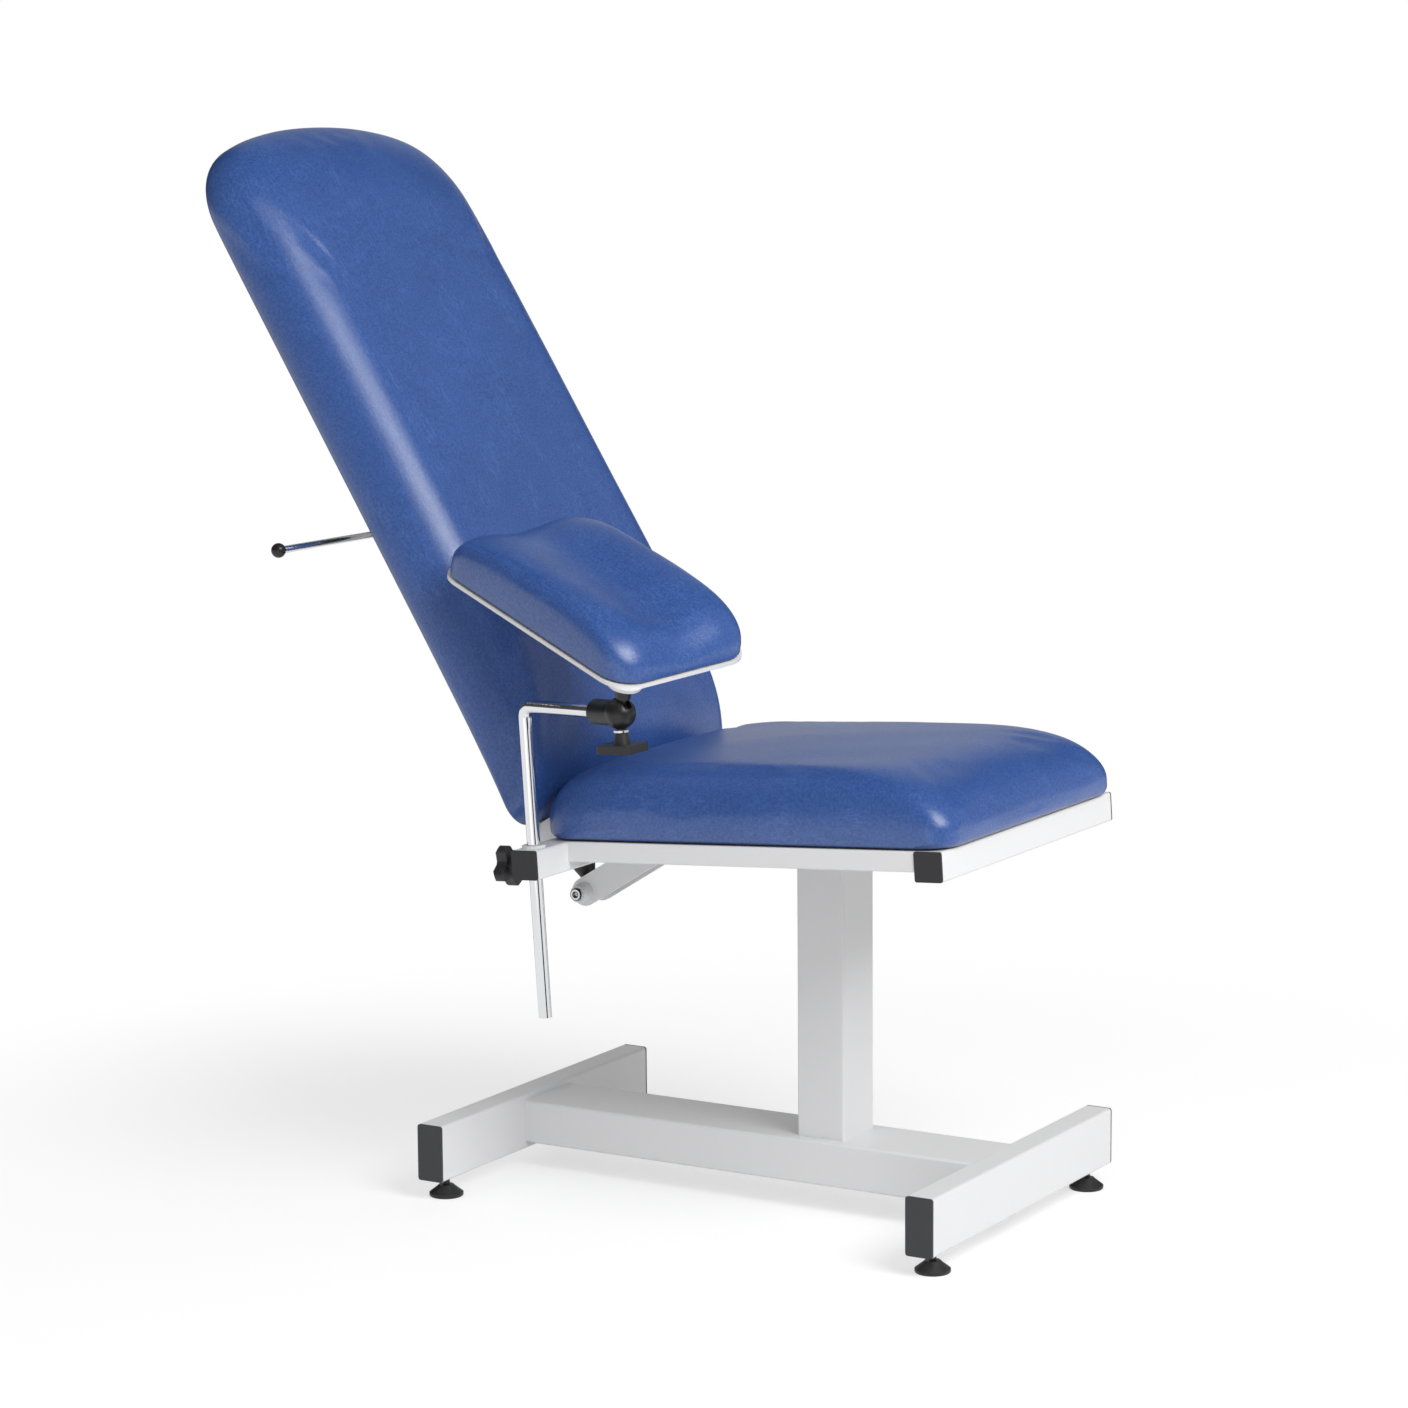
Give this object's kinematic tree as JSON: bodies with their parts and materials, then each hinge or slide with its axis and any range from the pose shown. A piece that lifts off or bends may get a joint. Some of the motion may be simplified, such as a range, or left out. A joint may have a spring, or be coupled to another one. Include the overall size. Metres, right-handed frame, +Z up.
{
  "type": "phlebotomy chair",
  "caption": "Padded chair on a twin-leg steel base with a reclining back and one troughed arm pad on a ball joint, used for taking blood.",
  "frame": {"origin": "on the floor at the middle of the base, half way between the two floor legs", "axes": "+Z is up, the chair faces -Y, +X is the seated person's left"},
  "size_m": [0.754, 1.2065, 1.482],
  "materials": {
    "white_powder_coat": "smooth white powder coat",
    "black_plastic": "satin charcoal plastic",
    "foot_rubber": "matte black plastic foot on a steel stem",
    "zinc_steel": "zinc plated",
    "chrome": "polished chrome plate",
    "blue_leatherette": "fine grained blue leatherette over foam",
    "plywood": "plain plywood"
  },
  "bodies": {
    "frame": {"front_leg": "white_powder_coat", "rear_leg": "white_powder_coat", "leg_caps": "black_plastic", "foot_nuts": "zinc_steel", "base_beam": "white_powder_coat", "column": "white_powder_coat", "column_head": "white_powder_coat", "head_bolts": "zinc_steel", "head_nuts": "zinc_steel", "front_bar": "white_powder_coat", "front_bar_caps": "black_plastic", "right_rail": "white_powder_coat", "left_rail": "white_powder_coat", "front_crossbar": "white_powder_coat", "middle_crossbar": "white_powder_coat", "rear_crossbar": "white_powder_coat", "rear_tube": "white_powder_coat", "rear_tube_caps": "black_plastic", "left_arm_bush": "white_powder_coat", "seat_board": "plywood", "seat_cushion": "blue_leatherette", "right_hinge_plates": "white_powder_coat", "left_hinge_plates": "white_powder_coat", "hinge_bolts": "zinc_steel", "hinge_nuts": "zinc_steel", "anchor_cheeks": "white_powder_coat", "anchor_bolt": "zinc_steel", "anchor_nut": "zinc_steel"},
    "foot_fr": {"foot_front_right": "foot_rubber"},
    "foot_fl": {"foot_front_left": "foot_rubber"},
    "foot_rr": {"foot_rear_right": "foot_rubber"},
    "foot_rl": {"foot_rear_left": "foot_rubber"},
    "back": {"right_back_tube": "white_powder_coat", "left_back_tube": "white_powder_coat", "back_tube_caps": "black_plastic", "hinge_bushes": "zinc_steel", "lower_back_crossbar": "white_powder_coat", "spring_crossbar": "white_powder_coat", "upper_back_crossbar": "white_powder_coat", "spring_ears": "white_powder_coat", "spring_top_pin": "zinc_steel", "back_board": "plywood", "back_cushion": "blue_leatherette"},
    "spring_body": {"spring_cylinder": "zinc_steel", "spring_boot": "black_plastic"},
    "spring_piston": {"spring_rod": "chrome", "release_head": "black_plastic"},
    "lever": {"release_lever": "chrome", "release_ball": "black_plastic"},
    "arm_bush": {"right_arm_bush": "white_powder_coat"},
    "arm": {"arm_rod": "chrome", "ball_housing": "black_plastic", "clamp_ring": "zinc_steel"},
    "ball": {"ball_stem": "black_plastic"},
    "pad": {"pad_flange": "white_powder_coat", "pad_board": "white_powder_coat", "pad_cushion": "blue_leatherette"},
    "clamp_knob": {"cross_knob": "black_plastic"},
    "joint_knob": {"ball_knob": "black_plastic"}
  },
  "joints": [
    {"name": "front_right_foot_height", "type": "slide", "parent": "frame", "child": "foot_fr", "axis": [0, 0, -1], "range_m": [0, 0.008]},
    {"name": "front_left_foot_height", "type": "slide", "parent": "frame", "child": "foot_fl", "axis": [0, 0, -1], "range_m": [0, 0.008]},
    {"name": "rear_right_foot_height", "type": "slide", "parent": "frame", "child": "foot_rr", "axis": [0, 0, -1], "range_m": [0, 0.008]},
    {"name": "rear_left_foot_height", "type": "slide", "parent": "frame", "child": "foot_rl", "axis": [0, 0, -1], "range_m": [0, 0.008]},
    {"name": "back_recline", "type": "hinge", "parent": "frame", "child": "back", "pos_m": [0, 0.24949, 0.53546], "axis": [-1, 0, 0], "range_deg": [0, 58]},
    {"name": "spring_swing", "type": "hinge", "parent": "frame", "child": "spring_body", "pos_m": [0, 0.28128, 0.40616], "axis": [-1, 0, 0], "range_deg": [0, 51.55]},
    {"name": "spring_stroke", "type": "slide", "parent": "spring_body", "child": "spring_piston", "axis": [0, -0.4214, -0.9069], "range_m": [0, 0.1166]},
    {"name": "release_lever_pull", "type": "hinge", "parent": "spring_piston", "child": "lever", "pos_m": [0, 0.52014, 0.92018], "axis": [0, 0.9069, -0.4214], "range_deg": [0, 8], "stiffness_Nm_per_rad": 4, "springref_deg": -5.73},
    {"name": "arm_swing", "type": "hinge", "parent": "frame", "child": "arm_bush", "pos_m": [-0.308, 0.18143, 0.5258], "axis": [0, -0.064, -0.9979], "range_deg": [0, 95]},
    {"name": "arm_height", "type": "slide", "parent": "arm_bush", "child": "arm", "axis": [0, 0.064, 0.9979], "range_m": [-0.02, 0.14]},
    {"name": "pad_tilt", "type": "hinge", "parent": "arm", "child": "ball", "pos_m": [-0.37276, 0.00281, 0.73015], "axis": [0.9502, -0.2967, 0.0953], "range_deg": [-3, 15]},
    {"name": "pad_swivel", "type": "hinge", "parent": "ball", "child": "pad", "pos_m": [-0.37276, 0.00281, 0.73015], "axis": [0.1856, 0.2933, -0.9378], "range_deg": [-4, 90]},
    {"name": "clamp_knob_turn", "type": "hinge", "parent": "frame", "child": "clamp_knob", "pos_m": [-0.308, 0.19976, 0.49907], "axis": [0, 0.9979, -0.064], "range_deg": [0, 360]},
    {"name": "joint_knob_turn", "type": "hinge", "parent": "arm", "child": "joint_knob", "pos_m": [-0.37276, 0.00281, 0.73015], "axis": [0, -0.064, -0.9979], "range_deg": [0, 360]}
  ],
  "couplings": [
    {"joint": "spring_swing", "follows": "back_recline", "ratio": 0.8875},
    {"joint": "spring_stroke", "follows": "back_recline", "m_per_rad": 0.115}
  ]
}
